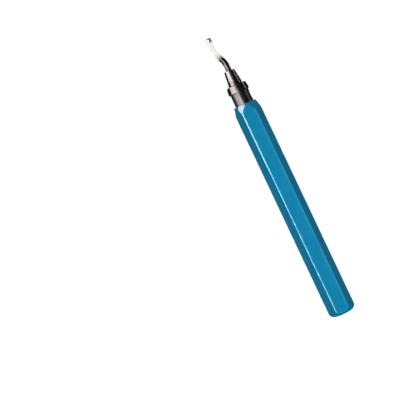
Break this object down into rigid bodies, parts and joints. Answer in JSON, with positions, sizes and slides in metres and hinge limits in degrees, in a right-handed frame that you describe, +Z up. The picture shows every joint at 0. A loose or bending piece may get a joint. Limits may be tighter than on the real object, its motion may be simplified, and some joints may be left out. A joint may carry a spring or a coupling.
{
  "type": "deburring tool",
  "caption": "Hand deburring tool: slim hexagonal anodised handle, spring-loaded lock collar and a bent blade that swivels freely in a quick-change holder.",
  "frame": {"origin": "centre of the handle's lower flat, halfway along the handle", "axes": "+X along the tool towards the blade, +Z up out of the flat that the tool lies on"},
  "size_m": [0.1768, 0.016, 0.014],
  "materials": {
    "blue_anodised": "satin anodised",
    "black_nickel": "polished, dark",
    "plain_steel": "turned",
    "spring_steel": "drawn wire",
    "blade_steel": "black oxide with a bright ground face"
  },
  "bodies": {
    "handle": {"handle": "blue_anodised", "holder_stem": "black_nickel", "blade_tube": "plain_steel", "nose_cap": "black_nickel", "return_spring": "spring_steel"},
    "lock_collar": {"lock_collar": "black_nickel"},
    "blade": {"blade": "blade_steel"},
    "lock_ball_1": {"lock_ball_1": "plain_steel"},
    "lock_ball_2": {"lock_ball_2": "plain_steel"},
    "lock_ball_3": {"lock_ball_3": "plain_steel"}
  },
  "joints": [
    {"name": "blade_swivel", "type": "hinge", "parent": "handle", "child": "blade", "pos_m": [0.07735, 0, 0.007], "axis": [1, 0, 0], "continuous": true},
    {"name": "collar_slide", "type": "slide", "parent": "handle", "child": "lock_collar", "axis": [-1, 0, 0], "range_m": [0, 0.003], "stiffness_N_per_m": 900, "springref_m": -0.003, "deforming": ["return_spring"]},
    {"name": "lock_ball_1_lift", "type": "slide", "parent": "handle", "child": "lock_ball_1", "axis": [0, 0, 1], "range_m": [0, 0.00054]},
    {"name": "lock_ball_2_lift", "type": "slide", "parent": "handle", "child": "lock_ball_2", "axis": [0, -0.866, -0.5], "range_m": [0, 0.00054]},
    {"name": "lock_ball_3_lift", "type": "slide", "parent": "handle", "child": "lock_ball_3", "axis": [0, 0.866, -0.5], "range_m": [0, 0.00054]}
  ],
  "couplings": [
    {"joint": "lock_ball_1_lift", "follows": "collar_slide", "ratio": 0.18},
    {"joint": "lock_ball_2_lift", "follows": "collar_slide", "ratio": 0.18},
    {"joint": "lock_ball_3_lift", "follows": "collar_slide", "ratio": 0.18}
  ]
}
